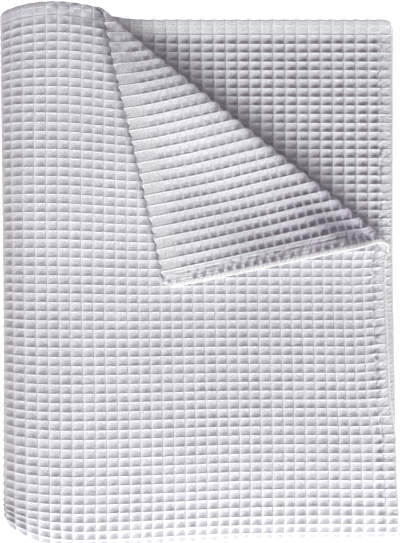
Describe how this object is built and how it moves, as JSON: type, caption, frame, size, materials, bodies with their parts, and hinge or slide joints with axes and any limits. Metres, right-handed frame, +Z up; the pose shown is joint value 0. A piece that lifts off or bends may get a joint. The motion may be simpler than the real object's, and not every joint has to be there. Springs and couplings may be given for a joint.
{
  "type": "waffle weave cotton blanket",
  "caption": "Thin white waffle weave cotton blanket, lying folded in four, with one corner of its top layer turned back.",
  "frame": {"origin": "middle of the folded blanket's box in plan, on the surface that it lies on", "axes": "+Y along the folded blanket's length, from its folded edge towards its hems; +X towards the open side, away from the left fold; +Z up"},
  "size_m": [0.3732, 0.4992, 0.0437],
  "materials": {
    "waffle_cotton": "matt white waffle weave cotton"
  },
  "bodies": {
    "root": {"blanket": "waffle_cotton"}
  },
  "joints": []
}
